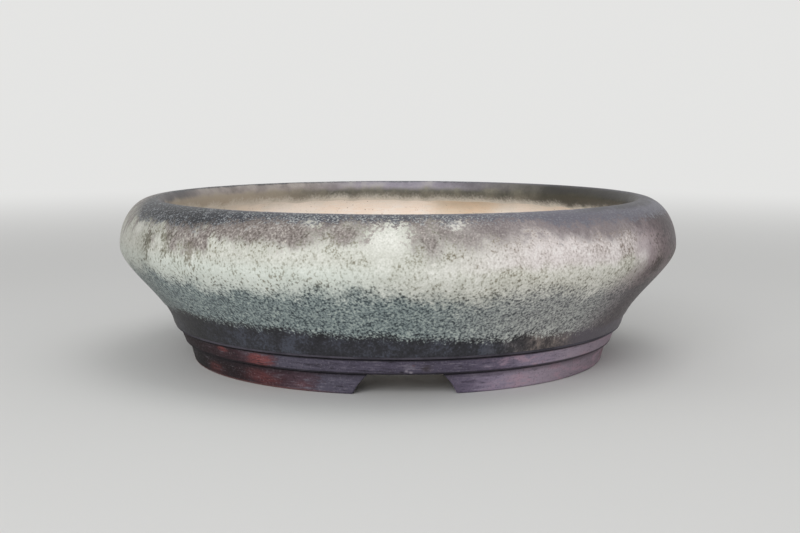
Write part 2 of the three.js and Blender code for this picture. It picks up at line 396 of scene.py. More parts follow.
def make_glaze():
    """The coat over the belly, the shoulder and the lip. Its mesh keeps how high each point lies, and
    how far from the pale glaze's edge and from the coat's inner one, for its material."""
    bearing = bearings()
    start = OUTSIDE.travel_at(GLAZE_FOOT) + 0 * bearing
    end = glaze_end(bearing)
    travel = glaze_rows(start, end)
    turn = np.broadcast_to(bearing, travel.shape)
    on_skin = OUTSIDE.place(travel)
    crest = OUTSIDE.travel_at(CREST_HEIGHT)
    past_crest = travel > crest
    full = glaze_thickness(spun(*on_skin, turn), on_skin[1], turn, past_crest)
    from_edge = np.minimum(travel - start, end - travel)
    thin = 1 - np.clip(from_edge / GLAZE_MARGIN, 0, 1)
    depth = GLAZE_BOND + (full - GLAZE_BOND) * np.sqrt(1 - thin**2)
    outer = spun(*OUTSIDE.place(travel, depth), turn)
    back = travel[1:-1:4][::-1]
    inner = spun(*OUTSIDE.place(back, GLAZE_BOND), bearing)
    mesh = grid_mesh("glaze_skin", np.concatenate((outer, inner)), closed=True)
    rise = np.where(travel < crest, on_skin[1], CREST_HEIGHT + travel - crest) / MM
    over = np.where(past_crest, 50, (on_skin[1] - pale_edge(turn)) / MM)
    hidden = np.zeros(inner.shape[:2])
    for name, values in (("rise", rise), ("over_edge", over), ("to_inner_edge", (end - travel) / MM)):
        mark(mesh, name, np.concatenate((values, hidden)))
    smooth_shaded(mesh)
    return new_object("glaze_skin", mesh)


def inner_profile():
    """The inner side of the clay: down from the lip, in along the floor's fillet, to the axis."""
    flare = Skin(FLARE)
    inner_height = flare.line[:, 1] - flare.outward[:, 1] * WALL_THICKNESS
    wall_foot = float(np.interp(FLOOR_TOP + FLOOR_FILLET, inner_height, flare.travel))
    travel = np.linspace(flare.travel[-1], wall_foot, 90)
    wall = np.column_stack(flare.place(travel, -WALL_THICKNESS))
    slope = (wall[-2] - wall[-1]) / (wall[-2, 1] - wall[-1, 1])
    floor_corner = wall[-1] + slope * (FLOOR_TOP - wall[-1, 1])
    reach = np.linalg.norm(floor_corner - wall[-1])
    fillet = corner(wall[-1], floor_corner, point(floor_corner[0] - reach, FLOOR_TOP), 14)
    floor = np.linspace(fillet[-1], point(AXIS_STOP, FLOOR_TOP), 110)
    return Skin(UNDER_LIP, wall, fillet, floor)


def make_bowl():
    """The clay itself: its skin lies under the glaze, and its inner side shows the throwing rings."""
    base_edge = corner(
        point(COLLAR_RADIUS - BASE_EDGE_ROUND, BOWL_BASE),
        point(COLLAR_RADIUS, BOWL_BASE),
        point(COLLAR_RADIUS, BOWL_BASE + BASE_EDGE_ROUND),
    )
    underside = np.linspace(point(AXIS_STOP, BOWL_BASE), base_edge[0], 60)[:-1]
    outer = np.vstack((FLARE[14::12], SHOULDER[12::12], LIP_ROLL[8::8]))
    inside = inner_profile()
    shown = np.linspace(0, inside.travel[-1], 250)[1:]
    turn = bearings()
    ring = np.sin(2 * math.pi * shown[:, None] / THROWING_PITCH + turn)
    settle = eased(shown, *THROWING_START)[:, None] * THROWING_DEPTH
    centre = 1 - eased(shown, inside.travel[-1] - THROWING_END, inside.travel[-1])[:, None]
    radius, height = inside.place(shown[:, None], -settle * (0.5 + 0.5 * ring) * centre)
    plain = np.vstack((underside, base_edge, outer))
    grid = np.concatenate((spun(plain[:, :1], plain[:, 1:], turn), spun(radius, height, turn)))
    bowl = new_object("bowl_clay", grid_mesh("bowl_clay", grid, closed=False))
    combined(bowl, floor_holes(), "DIFFERENCE")
    smooth_shaded(bowl.data)
    return bowl


def floor_holes():
    """Plugs for a drain hole facing each notch, and for two tie-wire holes outside each of them."""
    plugs = []
    for i in range(DRAIN_COUNT):
        bearing = NOTCH_TURN + 2 * math.pi * i / DRAIN_COUNT
        plugs.append(hole_plug(DRAIN_RADIUS, DRAIN_EASE, 72, DRAIN_CIRCLE_RADIUS, bearing))
        for side in (-0.5, 0.5):
            swing = bearing + side * WIRE_SPREAD
            plugs.append(hole_plug(WIRE_RADIUS, WIRE_EASE, 32, WIRE_CIRCLE_RADIUS, swing))
    return plugs


def hole_plug(radius, ease, steps, circle_radius, bearing):
    wide = radius + ease
    low, high = BOWL_BASE, FLOOR_TOP
    profile = [
        point(wide, low - THROUGH_CUT),
        *corner(point(wide, low), point(radius, low), point(radius, low + ease)),
        *corner(point(radius, high - ease), point(radius, high), point(wide, high)),
        point(wide, high + THROUGH_CUT),
    ]
    plug = new_object("plug", turned_mesh("plug", profile, steps))
    plug.location = place_at(bearing, circle_radius, 0)
    return plug


def make_band():
    """The plain ring under the bowl, its trimmed face slightly streaked and nicked in a few places."""
    r = BAND_EDGE_ROUND
    inner = BAND_TOP_RADIUS - BAND_WIDTH
    low_out, high_out = point(BAND_BASE_RADIUS, BAND_BASE), point(BAND_TOP_RADIUS, BAND_TOP)
    low_in, high_in = point(inner, BAND_BASE), point(inner, BAND_TOP)
    profile = np.vstack(
        (
            np.linspace(low_in + (r, 0), low_out - (r, 0), 8)[:-1],
            corner(low_out - (r, 0), low_out, low_out + (0, r), 6),
            np.linspace(low_out + (0, r), high_out - (0, r), 22)[1:-1],
            corner(high_out - (0, r), high_out, high_out - (r, 0), 6),
            np.linspace(high_out - (r, 0), high_in + (r, 0), 8)[1:],
            corner(high_in + (r, 0), high_in, high_in - (0, r), 4)[1:],
            corner(low_in + (0, r), low_in, low_in + (r, 0), 4)[:-1],
        )
    )
    mesh = turned_mesh("band_clay", profile, TURN_STEPS, closed=True)
    set_points(mesh, trimmed(points_of(mesh), NICKS))
    smooth_shaded(mesh)
    return new_object("band_clay", mesh)


# Marks on the band: bearing in degrees, height over its base and width in mm, strength and colour
BAND_MARKS = (
    (0.9, 1.0, 1.3, 0.9, "262229"),
    (1.9, 1.9, 1.2, 0.5, "aaa3ac"),
    (2.9, 1.2, 1.2, 0.6, "9a939c"),
    (3.5, 4.4, 1.6, 0.5, "6f4a4c"),
    (6.4, 3.0, 3.4, 0.7, "39312f"),
    (14.5, 3.6, 1.4, 0.6, "2a262e"),
    (133, 0.8, 1.5, 0.7, "aca5ad"),
)

# Chips in the band: bearing in degrees, and height over its base, width and depth in mm
NICKS = ((0.9, 1.2, 1.3, 0.55), (2.9, 1.6, 1.0, 0.3), (-41, 6.5, 1.6, 0.4), (133, 0.6, 1.5, 0.4))


def on_band(degrees, height):
    """A place on the band's face, from a bearing in degrees and a height over its base in mm."""
    return place_at(math.radians(degrees), BAND_BASE_RADIUS, BAND_BASE + height * MM)


def trimmed(points, nicks=()):
    """Draws turned faces in by a little: streaks left by the trimming tool, soft hollows and nicks."""
    radius = np.hypot(points[:, 0], points[:, 1])
    stretched = points * np.array([1, 1, 7])
    streaks = lumps(stretched, 9 * MM, 6)
    hollows = lumps(points, 14 * MM, 8)
    sinking = TRIM_STREAK_DEPTH * (1 + streaks) + TRIM_HOLLOW_DEPTH * (1 + hollows)
    for degrees, height, width, depth in nicks:
        centre = np.array(on_band(degrees, height))
        away = np.linalg.norm((points - centre) * np.array([1, 1, 1.3]), axis=1)
        sinking = sinking + depth * MM * np.exp(-((away / (width * MM)) ** 2))
    scale = (radius - sinking) / radius
    return points * np.column_stack((scale, scale, np.ones(len(points))))


def make_foot(index):
    """One foot: the foot ring between two notches, with every edge softened as wet clay is."""
    ring = new_object(FOOT_NODES[index].replace("foot", "clay_foot"), foot_ring_mesh())
    span = 2 * math.pi / len(FOOT_NODES)
    start = NOTCH_TURN + span * index
    combined(ring, [sector_tool(start, start + span)], "INTERSECT")
    combined(ring, [notch_tool(start), notch_tool(start + span)], "DIFFERENCE")
    remesh = ring.modifiers.new("even", "REMESH")
    remesh.mode = "VOXEL"
    remesh.voxel_size = FOOT_VOXEL
    soften = ring.modifiers.new("soften", "SMOOTH")
    soften.factor = 0.5
    soften.iterations = 5
    settled(ring)
    points = trimmed(points_of(ring.data))
    points[:, 2] = np.clip(points[:, 2], 0, FOOT_HEIGHT)
    set_points(ring.data, points)
    smooth_shaded(ring.data, math.radians(180))
    return ring


def foot_ring_mesh():
    r = FOOT_EDGE_ROUND
    inner, outer = FOOT_TOP_RADIUS - FOOT_WIDTH, FOOT_BASE_RADIUS
    profile = np.vstack(
        (
            corner(point(inner, r), point(inner, 0), point(inner + r, 0), 3),
            corner(point(outer - r, 0), point(outer, 0), point(outer, r), 3),
            [point(FOOT_TOP_RADIUS, FOOT_HEIGHT), point(inner, FOOT_HEIGHT)],
        )
    )
    return turned_mesh("foot_ring", profile, 360, closed=True)


def extruded(name, outline, depth_vector):
    """A solid from a closed outline of points in space, drawn out along a vector."""
    count = len(outline)
    near = [Vector(p) for p in outline]
    far = [p + depth_vector for p in near]
    faces = [tuple(range(count))[::-1], tuple(range(count, 2 * count))]
    faces += [(i, (i + 1) % count, (i + 1) % count + count, i + count) for i in range(count)]
    mesh = bpy.data.meshes.new(name)
    mesh.from_pydata([tuple(p) for p in near + far], [], faces)
    shape = bmesh.new()
    shape.from_mesh(mesh)
    bmesh.ops.recalc_face_normals(shape, faces=shape.faces)
    shape.to_mesh(mesh)
    shape.free()
    return new_object(name, mesh)


def sector_tool(start, end):
    """A slice of the space round the axis, from one bearing to another."""
    low = -THROUGH_CUT
    turn = np.linspace(start, end, 25)
    rim = spun(POT_RADIUS, low, turn)
    outline = [(0, 0, low), *[tuple(p) for p in rim]]
    return extruded("sector", outline, Vector((0, 0, FOOT_HEIGHT + 2 * THROUGH_CUT)))


def notch_tool(bearing):
    """A bar from the axis out through the ring, wide at the ground and narrow at its top."""
    side = []
    for share in np.linspace(0, 1, 9):
        half = NOTCH_TOP_WIDTH / 2 + (NOTCH_BASE_WIDTH - NOTCH_TOP_WIDTH) / 2 * share
        side.append((half + 4 * NOTCH_BOW * share * (1 - share), FOOT_HEIGHT * (1 - share)))
    right = [(side[0][0], FOOT_HEIGHT + THROUGH_CUT), *side, (side[-1][0], -THROUGH_CUT)]
    section = right + [(-half, height) for half, height in reversed(right)]
    across = Vector((math.cos(bearing), math.sin(bearing), 0))
    outward = Vector(place_at(bearing, 1, 0))
    outline = [across * half + Vector((0, 0, height)) for half, height in section]
    return extruded("notch", outline, outward * (FOOT_TOP_RADIUS + 4 * THROUGH_CUT))


def paint(code):
    """A colour written as six hexadecimal digits, in the linear form that shaders take."""
    shares = [int(code[i : i + 2], 16) / 255 for i in (0, 2, 4)]
    linear = [c / 12.92 if c <= 0.04045 else ((c + 0.055) / 1.055) ** 2.4 for c in shares]
    return (*linear, 1.0)


# Noise strays from one half by about one twelfth
NOISE_GAIN = 12


class Nodes:
    """A node tree, put together by short calls. Each call gives back what it makes."""

    def __init__(self, tree):
        self.nodes = tree.nodes
        self.links = tree.links

    def feed(self, node, inputs):
        """Gives a node its inputs: a socket is linked, a code becomes a colour, and None is left out."""
        for name, value in inputs.items():
            if isinstance(value, bpy.types.NodeSocket):
                self.links.new(value, node.inputs[name])
            elif value is not None:
                node.inputs[name].default_value = paint(value) if isinstance(value, str) else value
        return node

    def new(self, kind, inputs):
        return self.feed(self.nodes.new("ShaderNode" + kind), inputs)

    def sum(self, operation, first, second=None, kind="Math"):
        node = self.new(kind, {0: first, 1: second})
        node.operation = operation
        return node.outputs["Value" if operation == "LENGTH" else 0]

    def vector_sum(self, operation, first, second=None):
        return self.sum(operation, first, second, "VectorMath")

    def mixed(self, share, first, second):
        """One shader that gives way to another."""
        return self.new("MixShader", {0: share, 1: first, 2: second}).outputs[0]

    def seen_or_lit(self, seen, lit):
        """One shader as the camera and clear or glossy surfaces see it, and one as it lights things."""
        path = self.nodes.new("ShaderNodeLightPath")
        share = path.outputs["Is Camera Ray"]
        for kind in ("Is Glossy Ray", "Is Transmission Ray"):
            share = self.sum("MAXIMUM", share, path.outputs[kind])
        return self.mixed(share, lit, seen)


class Finish(Nodes):
    """A material whose colours follow places on the object and noises. The side is X and the height Z,
    both in metres."""

    def __init__(self, name):
        self.material = bpy.data.materials.new(name)
        self.material.use_nodes = True
        super().__init__(self.material.node_tree)
        self.shader = self.nodes["Principled BSDF"]
        self.place = self.nodes.new("ShaderNodeTexCoord").outputs["Object"]
        self.side = self.axis("X")
        self.height = self.axis("Z")

    def axis(self, name):
        return self.new("SeparateXYZ", {0: self.place}).outputs[name]

    def plus(self, first, second):
        return self.sum("ADD", first, second)

    def times(self, first, second):
        return self.sum("MULTIPLY", first, second)

    def weighed(self, *terms):
        """The sum of some values, each given with its weight."""
        total = None
        for weight, value in terms:
            part = value if weight == 1 else self.times(value, weight)
            total = part if total is None else self.plus(total, part)
        return total

    def blend(self, share, first, second, kind="MIX"):
        node = self.nodes.new("ShaderNodeMix")
        node.data_type = "RGBA"
        node.blend_type = kind
        return self.feed(node, {"Factor": share, 6: first, 7: second}).outputs[2]

    def span(self, value, low, high, start=0.0, end=1.0, kind="SMOOTHSTEP"):
        """A rise from start to end as a value goes from low to high, smooth unless said otherwise."""
        names = ("Value", "From Min", "From Max", "To Min", "To Max")
        node = self.new("MapRange", dict(zip(names, (value, low, high, start, end))))
        node.interpolation_type = kind
        return node.outputs[0]

    def tones(self, value, stops):
        """A colour that follows a few stops, each a value and a colour code."""
        low, high = stops[0][0], stops[-1][0]
        node = self.new("ValToRGB", {0: self.span(value, low, high, kind="LINEAR")})
        ramp = node.color_ramp
        while len(ramp.elements) < len(stops):
            ramp.elements.new(0.5)
        for element, (at, code) in zip(ramp.elements, stops):
            element.position = (at - low) / (high - low)
            element.color = paint(code)
        return node.outputs[0]

    def stretched(self, x, y, z, turn=0.0):
        """The place on the object, squeezed or drawn out along each axis."""
        inputs = {"Vector": self.place, "Scale": (x, y, z), "Rotation": (0, turn, 0)}
        return self.new("Mapping", inputs).outputs[0]

    def grain(self, size, detail=2.0, roughness=0.5, place=None):
        """Noise with a given grain size, in metres, about a mean of one half."""
        inputs = {"Vector": place or self.place, "Scale": 1 / size}
        inputs |= {"Detail": detail, "Roughness": roughness}
        return self.new("TexNoise", inputs).outputs["Fac"]

    def scatter(self, size, detail=2.0, roughness=0.5, place=None):
        """Noise that spreads about one unit either side of nought."""
        return self.times(self.plus(self.grain(size, detail, roughness, place), -0.5), NOISE_GAIN)

    def cells(self, size):
        """Distance to the nearest of many scattered points, for round specks."""
        return self.new("TexVoronoi", {"Vector": self.place, "Scale": 1 / size}).outputs["Distance"]

    def kept(self, name):
        """A number kept on the mesh by mark()."""
        node = self.nodes.new("ShaderNodeAttribute")
        node.attribute_name = name
        return node.outputs["Fac"]

    def bearing(self):
        """The angle round the pot, nought at the front and growing to the right."""
        return self.sum("ARCTAN2", self.side, self.times(self.axis("Y"), -1))

    def patch(self, centre, size, ragged):
        """One at a centre and nought beyond a size along each axis, with a ragged edge."""
        away = self.vector_sum("SUBTRACT", self.place, centre)
        reach = self.vector_sum("LENGTH", self.vector_sum("DIVIDE", away, size))
        return self.span(self.plus(reach, ragged), 1.0, 0.25)

    def bump(self, height, distance, strength=1.0, over=None):
        inputs = {"Height": height, "Distance": distance, "Strength": strength, "Normal": over}
        return self.new("Bump", inputs).outputs[0]

    def settle(self, colour, roughness, normal, shine=None):
        inputs = {"Base Color": colour, "Roughness": roughness, "Normal": normal}
        self.feed(self.shader, inputs | {"Specular IOR Level": shine})
        return self.material


# Places on the shoulder where cream broke through, or brown reached lower: bearing in degrees, height,
# width and tallness in mm, and how far they shift the layers up or down in mm
PATCHES = (
    (-1.5, 72.5, 11, 10, 10),
    (-16, 78, 6, 3.5, 7),
    (10, 77.5, 7, 3.5, 7),
    (-60, 71, 6, 6, 11),
    (-52, 75.5, 4, 4, 7),
    (-84, 68, 20, 20, 10),
    (30, 65, 26, 6, 2),
    (4.5, 64, 10, 10, -5),
    (9.5, 58, 7, 5, 6),
    (53, 63, 8, 5, 8),
    (98, 72, 18, 9, 8),
    (141, 74, 22, 8, 7),
    (178, 71, 14, 9, 8),
    (-142, 73, 22, 7, 7),
    (-110, 70, 14, 8, 7),
    (-28, 74, 26, 7, -6),
    (-10, 72, 9, 6, -5),
    (14, 70, 22, 8, -2.5),
    (-18, 71, 8, 6, -4),
    (-54.5, 67, 6, 9, -7),
    (-41, 67, 20, 13, -6),
    (41, 73, 32, 11, -5.5),
    (80, 66, 50, 20, -19),
    (120, 66, 26, 8, -6),
    (-125, 66, 24, 9, -6),
    (160, 67, 16, 8, -6),
)

# Stains that darken the glaze: bearing in degrees, height, width and tallness in mm, strength and colour
GLAZE_STAINS = (
    (-54, 65, 6, 10, 0.9, "b9b6ad"),
    (-47.5, 68, 6, 10, 0.8, "c2bfb7"),
    (-40, 64, 4.5, 10, 0.7, "c0b8b0"),
    (59, 53.5, 10, 6, 1, "8c6a5a"),
)

# Painted shade over the two ends, where the light falls off, tinged on the right with that end's mauve
# glaze:
# bearings in radians at which each starts, is full, begins to fade and ends, the share of it that stays
# on the bright place at the right, and its colour
PAINTED_END_SHADES = (
    (0.78, 0.95, 1.7, 2.0, 0.3, "cfc7cb"),
    (0.9, 1.1, 1.25, 1.5, 1, "c4babe"),
    (0.94, 1.07, 1.15, 1.4, 1, "c4b9bc"),
    (-0.8, -1.0, -1.7, -2.0, 1, "dedddb"),
)
# Place at the right where the painted shade is mostly lifted
BRIGHT_PLACE = (51.5, 59.5, 8, 4.5)  # bearing in degrees, height, width and tallness in mm

# Rises in mm between which one layer of the glaze gives way to the next
GREEN_TO_CREAM = (44.2, 54.5)
CREAM_TO_BROWN = (67, 77.5)
BROWN_TO_LIP = (76.3, 79.5)
LIP_TO_CREST = (80.7, 82.4)
CREST_TO_INNER = (84.0, 87.0)

# Tones of the glaze: values of a noise, and the colour at each
CREAM_TONES = ((-2.6, "736e5c"), (-1.5, "9e9d8f"), (-0.5, "c1c2b8"), (0.6, "cecfc6"), (2.4, "e4e4dd"))
ROSY_TONES = ((-2.6, "7a6d63"), (-1.5, "a69b96"), (-0.5, "c9c0bd"), (0.6, "dcd4d2"), (2.4, "f1edea"))
DULL_TONES = ((-2.6, "766f60"), (-1.5, "a39f91"), (-0.5, "cac8bd"), (0.6, "dddbd2"), (2.4, "f0eee8"))
GREEN_TONES = ((-2.3, "2c353b"), (-1.0, "5b6668"), (0.0, "7d898a"), (1.1, "97a3a0"), (2.5, "b6bfb9"))
ASHEN_TONES = ((-2.3, "404346"), (-1.0, "757677"), (0.0, "999a98"), (1.1, "b1b3af"), (2.5, "c9cbc6"))
BROWN_TONES = ((-2.5, "48413f"), (-1.0, "6c645f"), (0.0, "857d79"), (1.0, "9f9893"), (2.3, "c8c3b8"))
LIP_TONES = ((-1.8, "2a2e3a"), (0.4, "4c505b"), (2.7, "a2a4a2"))
DIM_LIP_TONES = ((-1.8, "13151b"), (0.3, "24272d"), (2.7, "797c80"))
CREST_TONES = ((-2, "837d87"), (0, "95909b"), (2, "aaa5a6"))
LEFT_CREST_TONES = ((-2, "7d7671"), (2, "aaa29b"))
RIGHT_CREST_TONES = ((-2, "45433d"), (2, "6b6862"))
INNER_TONES = ((-2, "4b4b43"), (0, "615f56"), (2, "7b776b"))
DARK_FOOT_TONES = ((-2.5, "1e1e22"), (0, "2d2d33"), (2.5, "444752"))
TAN_FOOT_TONES = ((-2.5, "393233"), (0, "615957"), (2.5, "8a7d76"))


class Glaze(Finish):
    """The glaze's finish, with the places and noises that its layers share. The rise is the height in
    mm, and past the crest it goes on growing with the travel."""

    def __init__(self):
        super().__init__("speckled_glaze")
        self.rise = self.kept("rise")
        self.broad = self.scatter(46 * MM)
        self.cloud = self.scatter(15 * MM, 4, 0.6)
        self.mottle = self.scatter(6 * MM, 4, 0.85)
        self.speck = self.scatter(1.15 * MM, 1, 0.5, self.stretched(1, 1, 0.8, 0.3))
        self.fine = self.scatter(0.75 * MM, 0)
        self.grit = self.weighed((0.65, self.speck), (0.7, self.mottle))
        self.patchy = self.plus(self.cloud, self.times(self.mottle, 0.5))
        self.round_right = self.span(self.side, 0.0, 0.07)
        self.shift = self.patch_shift()

    def spot(self, degrees, height, width, tall, ragged):
        """A patch on the glaze, from a bearing in degrees and lengths in mm."""
        radius = OUTSIDE.place(OUTSIDE.travel_at(height * MM), GLAZE_THICKNESS)[0]
        centre = place_at(math.radians(degrees), float(radius), height * MM)
        return self.patch(centre, (width * MM, width * MM, tall * MM), ragged)

    def patch_shift(self):
        """How far the patches shift the layers, in mm."""
        ragged = self.times(self.plus(self.mottle, self.speck), 0.12)
        return self.weighed(*((shift, self.spot(*place, ragged)) for *place, shift in PATCHES))

    def sided(self, colour, start, full, most, other):
        """A colour that gives way to another from one X to another, up to a share."""
        return self.blend(self.span(self.side, start, full, 0, most), colour, other)

    def laid(self, body, layer, limits, *wobble):
        """A layer over the body, above a line between two rises that wobbles with some noises."""
        line = self.weighed((1, self.rise), *wobble)
        return self.blend(self.span(line, *limits), body, layer)


def cream_layer(g):
    """Cream with olive specks: milky to the left, and to the right rosy above and dull below."""
    clean = g.weighed((0.48, g.grit), (0.2, g.fine), (0.45, g.cloud), (0.13, g.shift))
    high = g.span(g.plus(g.rise, g.cloud), 56, 62)
    right = g.blend(high, g.tones(clean, DULL_TONES), g.tones(clean, ROSY_TONES))
    cream = g.blend(g.round_right, g.tones(clean, CREAM_TONES), right)
    milky = g.times(g.span(g.rise, 64, 57), g.span(g.side, 0.01, -0.03, 0, 0.4))
    cream = g.blend(milky, cream, "dbe6df")
    peppery = g.plus(g.span(g.rise, 62, 51, 0.05, 0.5), g.span(g.side, -0.01, -0.05, 0, 0.3))
    pepper = g.times(g.span(g.plus(g.speck, g.times(g.mottle, 0.5)), -0.7, -2.2), peppery)
    return g.blend(pepper, cream, "77705c")


def green_layer(g):
    """Grey-green, thick with dark specks, and ashen to the right."""
    dots = g.weighed((0.66, g.speck), (0.38, g.mottle), (0.27, g.fine))
    return g.blend(g.round_right, g.tones(dots, GREEN_TONES), g.tones(dots, ASHEN_TONES))


def brown_layer(g):
    """Mottled mauve-brown, calmer to the right."""
    calm = g.times(g.weighed((0.95, g.grit), (0.35, g.fine)), g.span(g.side, 0.03, 0.09, 0.62, 0.4))
    return g.blend(g.times(g.round_right, 0.6), g.tones(calm, BROWN_TONES), "7d7379")


def lip_layer(g):
    """Speckled blue-grey: dim to the left, plain to the right, and brown on the far right of the rim."""
    dashes = g.weighed((0.65, g.fine), (0.75, g.speck), (0.8, g.mottle))
    lip = g.sided(g.tones(dashes, LIP_TONES), -0.03, -0.095, 1, g.tones(dashes, DIM_LIP_TONES))
    lip = g.blend(g.times(g.round_right, 0.82), lip, "66646f")
    rim = g.span(g.plus(g.rise, g.times(g.cloud, 0.4)), 78.3, 80.2)
    return g.blend(g.times(g.span(g.side, 0.072, 0.092, 0, 0.8), rim), lip, "312f33")


def lip_share(g):
    """Where the lip's layer lies. It reaches lower to both sides, and ends at the far left."""
    lower = g.plus(g.span(g.side, -0.045, -0.095, 0, 4.3), g.span(g.side, 0.045, 0.095, 0, 3))
    line = g.weighed((1, g.rise), (0.5, g.cloud), (0.8, g.mottle), (0.6, g.speck), (1, lower))
    return g.times(g.span(line, *BROWN_TO_LIP), g.span(g.side, -0.128, -0.118, 0.1, 1))


def crest_layer(g):
    """Thin glaze along the crest: mauve-grey in the middle, warm to the left and dark to the right."""
    crest = g.tones(g.patchy, CREST_TONES)
    crest = g.sided(crest, -0.01, -0.06, 0.9, g.tones(g.patchy, LEFT_CREST_TONES))
    crest = g.sided(crest, 0.01, 0.08, 1, g.tones(g.patchy, RIGHT_CREST_TONES))
    crest = g.sided(crest, 0.078, 0.093, 0.85, "2c2a28")
    return g.sided(crest, -0.105, -0.118, 0.8, "3d3c42")


def inner_layer(g):
    """Olive glaze inside the mouth: pale to the left, dark to the right."""
    inner = g.sided(g.tones(g.patchy, INNER_TONES), -0.03, -0.1, 0.9, "a29889")
    return g.sided(inner, 0.06, 0.1, 0.9, "36342a")


def foot_layer(g):
    """The dark glaze that shows below the pale one, browner to the right."""
    cloudy = g.weighed((1, g.cloud), (0.9, g.mottle), (0.4, g.speck), (0.2, g.fine))
    tan = g.sided(g.tones(cloudy, TAN_FOOT_TONES), 0.068, 0.085, 1, "575159")
    browned = g.span(g.plus(g.side, g.times(g.patchy, 0.003)), 0.042, 0.068)
    foot = g.blend(browned, g.tones(cloudy, DARK_FOOT_TONES), tan)
    return g.sided(foot, -0.06, -0.1, 0.7, "191719")


def shaded(g, body):
    """The body darkened by painted shade over the pot's two ends, and by its stains."""
    bearing = g.weighed((1, g.bearing()), (0.02, g.cloud), (1, g.span(g.rise, 58, 50, 0, 0.08)))
    bright = g.spot(*BRIGHT_PLACE, g.times(g.mottle, 0.15))
    for start, full, fading, end, kept, code in PAINTED_END_SHADES:
        # painted shade over one end, full between its middle bearings and eased off at both sides
        shade = g.times(g.span(bearing, start, full), g.span(bearing, end, fading))
        shade = g.times(shade, g.span(bright, 0, 1, 1, kept))
        body = g.blend(shade, body, code, "MULTIPLY")
    # the stains are the glaze's own colour
    ragged = g.times(g.grit, 0.22)
    for *place, strength, code in GLAZE_STAINS:
        stain = g.times(g.spot(*place, ragged), strength)
        body = g.blend(stain, body, code, "MULTIPLY")
    return body


def glaze_finish():
    """Satin glaze in layers: dark at the foot, grey-green with dark specks, cream over the belly,
    mauve-brown on the shoulder, blue-grey over the lip, and worn thin inside the mouth."""
    g = Glaze()
    belly_wobble = ((1.2, g.broad), (1.1, g.cloud), (0.9, g.mottle), (0.8, g.speck))
    body = green_layer(g)
    body = g.laid(body, cream_layer(g), GREEN_TO_CREAM, *belly_wobble, (2.6, g.round_right))
    drip = g.scatter(4.5 * MM, 3, 0.6, g.stretched(1, 1, 0.3))
    run = g.times(drip, g.span(g.side, -0.04, -0.09, 0.8, 2.8))
    shoulder_wobble = ((1.6, g.broad), (1.4, g.cloud), (1.8, g.mottle), (1.2, g.speck))
    body = g.laid(body, brown_layer(g), CREAM_TO_BROWN, *shoulder_wobble, (1, run), (-1, g.shift))
    body = g.blend(lip_share(g), shaded(g, body), lip_layer(g))
    body = g.laid(body, crest_layer(g), LIP_TO_CREST, (0.25, g.cloud))
    body = g.laid(body, inner_layer(g), CREST_TO_INNER, (0.5, g.cloud))
    to_edge = g.weighed((1, g.kept("to_inner_edge")), (0.5, g.patchy), (0.3, g.speck))
    body = g.blend(g.span(to_edge, 6.4, 0.6), body, STAINED_CLAY)
    fray = ((0.6, g.speck), (0.5, g.mottle), (0.3, g.fine), (0.3, g.cloud))
    over_edge = g.weighed((1, g.kept("over_edge")), *fray)
    body = g.blend(g.span(over_edge, 2.6, -1.6), body, foot_layer(g))
    gloss = g.plus(g.weighed((0.02, g.mottle), (-0.015, g.speck)), 0.46)
    wet = g.bump(g.plus(g.broad, g.times(g.mottle, 0.3)), 0.02 * MM, 0.35)
    pits = g.bump(g.grit, 0.012 * MM, 0.6, wet)
    return g.settle(body, gloss, g.bump(g.fine, 0.006 * MM, 0.5, pits), 0.4)


# Clay where the glaze's edge stained it
STAINED_CLAY = "c8c4bb"


def rim_places(f, cloud):
    """Where the inner wall is stained grey below the glaze, and where shade is painted on the back right
    of the wall under the rim.
    """
    wobble = f.plus(cloud, -0.5)
    across = f.plus(f.side, f.times(wobble, 0.02))
    right = f.times(f.span(across, 0.01, 0.035), f.span(across, 0.07, 0.05, 0.4, 1))
    near_rim = f.times(f.span(f.height, 0.05, 0.062), f.span(f.axis("Y"), 0.03, 0.07))
    painted_back_shade = f.times(right, near_rim)
    lower_left = f.span(f.side, -0.04, -0.1, 0, 0.005)
    line = f.weighed((1, f.height), (0.012, wobble), (1, lower_left), (0.003, painted_back_shade))
    return f.span(line, 0.064, 0.0755), painted_back_shade


def raw_finish():
    """Bare stoneware: grey by the glaze, whitish and then peach further down, with fine dark grog."""
    f = Finish("raw_clay")
    broad = f.grain(50 * MM, 2)
    cloud = f.grain(18 * MM, 3, 0.6)
    sand = f.grain(0.9 * MM, 3, 0.7)
    streak = f.grain(6 * MM, 2, 0.5, f.stretched(1, 1, 5))
    stained, painted_back_shade = rim_places(f, cloud)
    clay = f.blend(f.span(cloud, 0.35, 0.65), "f6efe8", "f8f5f1")
    clay = f.blend(stained, clay, STAINED_CLAY)
    peach = f.span(f.plus(broad, f.times(f.plus(streak, -0.5), 0.4)), 0.38, 0.6)
    peach = f.times(peach, f.span(f.height, 0.074, 0.062))
    clay = f.blend(f.times(peach, 0.5), clay, "f3dfcc")
    clay = f.blend(f.span(sand, 0.58, 0.7, 0, 0.35), clay, "8d6f55")
    grog = f.cells(4 * MM)
    clay = f.blend(f.span(grog, 0.11, 0.05, 0, 0.7), clay, "6b4b38")
    # painted shade on the back right of the inner wall, under the rim
    clay = f.blend(painted_back_shade, clay, "eadfd0", "MULTIPLY")
    wash = f.blend(f.span(cloud, 0.4, 0.6), "34313a", "4a4650")
    clay = f.blend(washed_mask(f), clay, wash)
    rough = f.span(sand, 0.3, 0.7, 0.72, 0.9)
    rings = f.bump(streak, 0.2 * MM, 0.3)
    return f.settle(clay, rough, f.bump(sand, 0.12 * MM, 0.5, rings))


def washed_mask(f):
    """One on the outer edge of the bowl's underside and its collar, where the wash ran."""
    radius = f.vector_sum("LENGTH", f.stretched(1, 1, 0))
    reach = f.span(radius, COLLAR_RADIUS - 9 * MM, COLLAR_RADIUS - 4 * MM)
    low = f.span(f.height, BOWL_BASE + 3 * MM, BOWL_BASE + 2 * MM)
    return f.times(reach, low)


